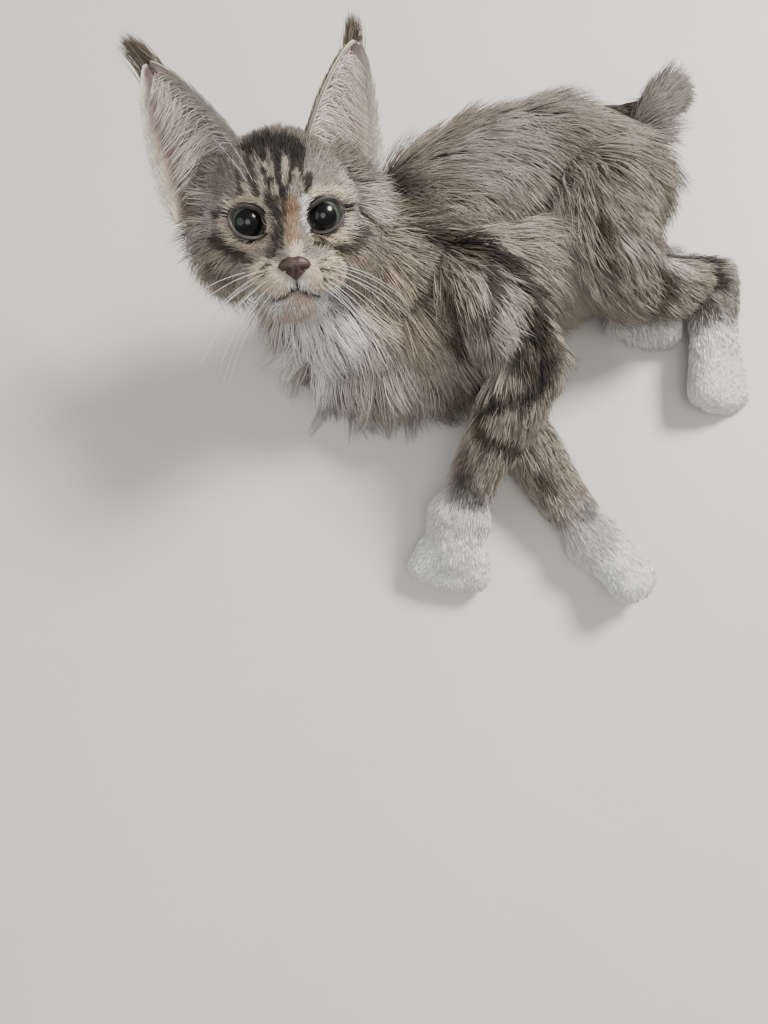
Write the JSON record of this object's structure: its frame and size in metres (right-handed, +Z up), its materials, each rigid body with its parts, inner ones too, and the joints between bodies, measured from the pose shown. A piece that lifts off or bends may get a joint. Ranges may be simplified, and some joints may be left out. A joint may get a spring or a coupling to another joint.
{
  "type": "maine coon kitten",
  "caption": "Young long-haired brown tabby and white cat lying on its side, head raised and turned up, ears tufted, tail laid behind it, as a still life-size model.",
  "frame": {"origin": "middle of the kitten's bounding box, on the floor it lies on", "axes": "+Z up from the floor, -X towards the kitten's front, -Y the way the legs reach and +Y the side where its back lies"},
  "size_m": [0.2656, 0.2736, 0.1251],
  "materials": {
    "tabby_fur": "long soft fur, ticked grey-brown with black tabby bars",
    "ruff_fur": "long loose cream and white fur",
    "white_fur": "short dense white fur",
    "ear_fur": "thin skin with long pale hairs",
    "eyes": "wet gloss, black pupil in a grey-green ring",
    "nose_leather": "fine grained, slightly moist"
  },
  "bodies": {
    "root": {"eye_right": "eyes", "eye_left": "eyes", "nose": "nose_leather", "head": "tabby_fur", "ear_right": "ear_fur", "ear_left": "ear_fur", "torso": "tabby_fur", "neck": "ruff_fur", "upper_arm_left": "tabby_fur", "forearm_left": "tabby_fur", "upper_arm_right": "tabby_fur", "forearm_right": "tabby_fur", "thigh_left": "tabby_fur", "shin_left": "tabby_fur", "thigh_right": "tabby_fur", "shin_right": "tabby_fur", "forepaw_left": "white_fur", "forepaw_right": "white_fur", "hindpaw_left": "white_fur", "hindpaw_right": "white_fur", "tail": "tabby_fur"}
  },
  "joints": []
}
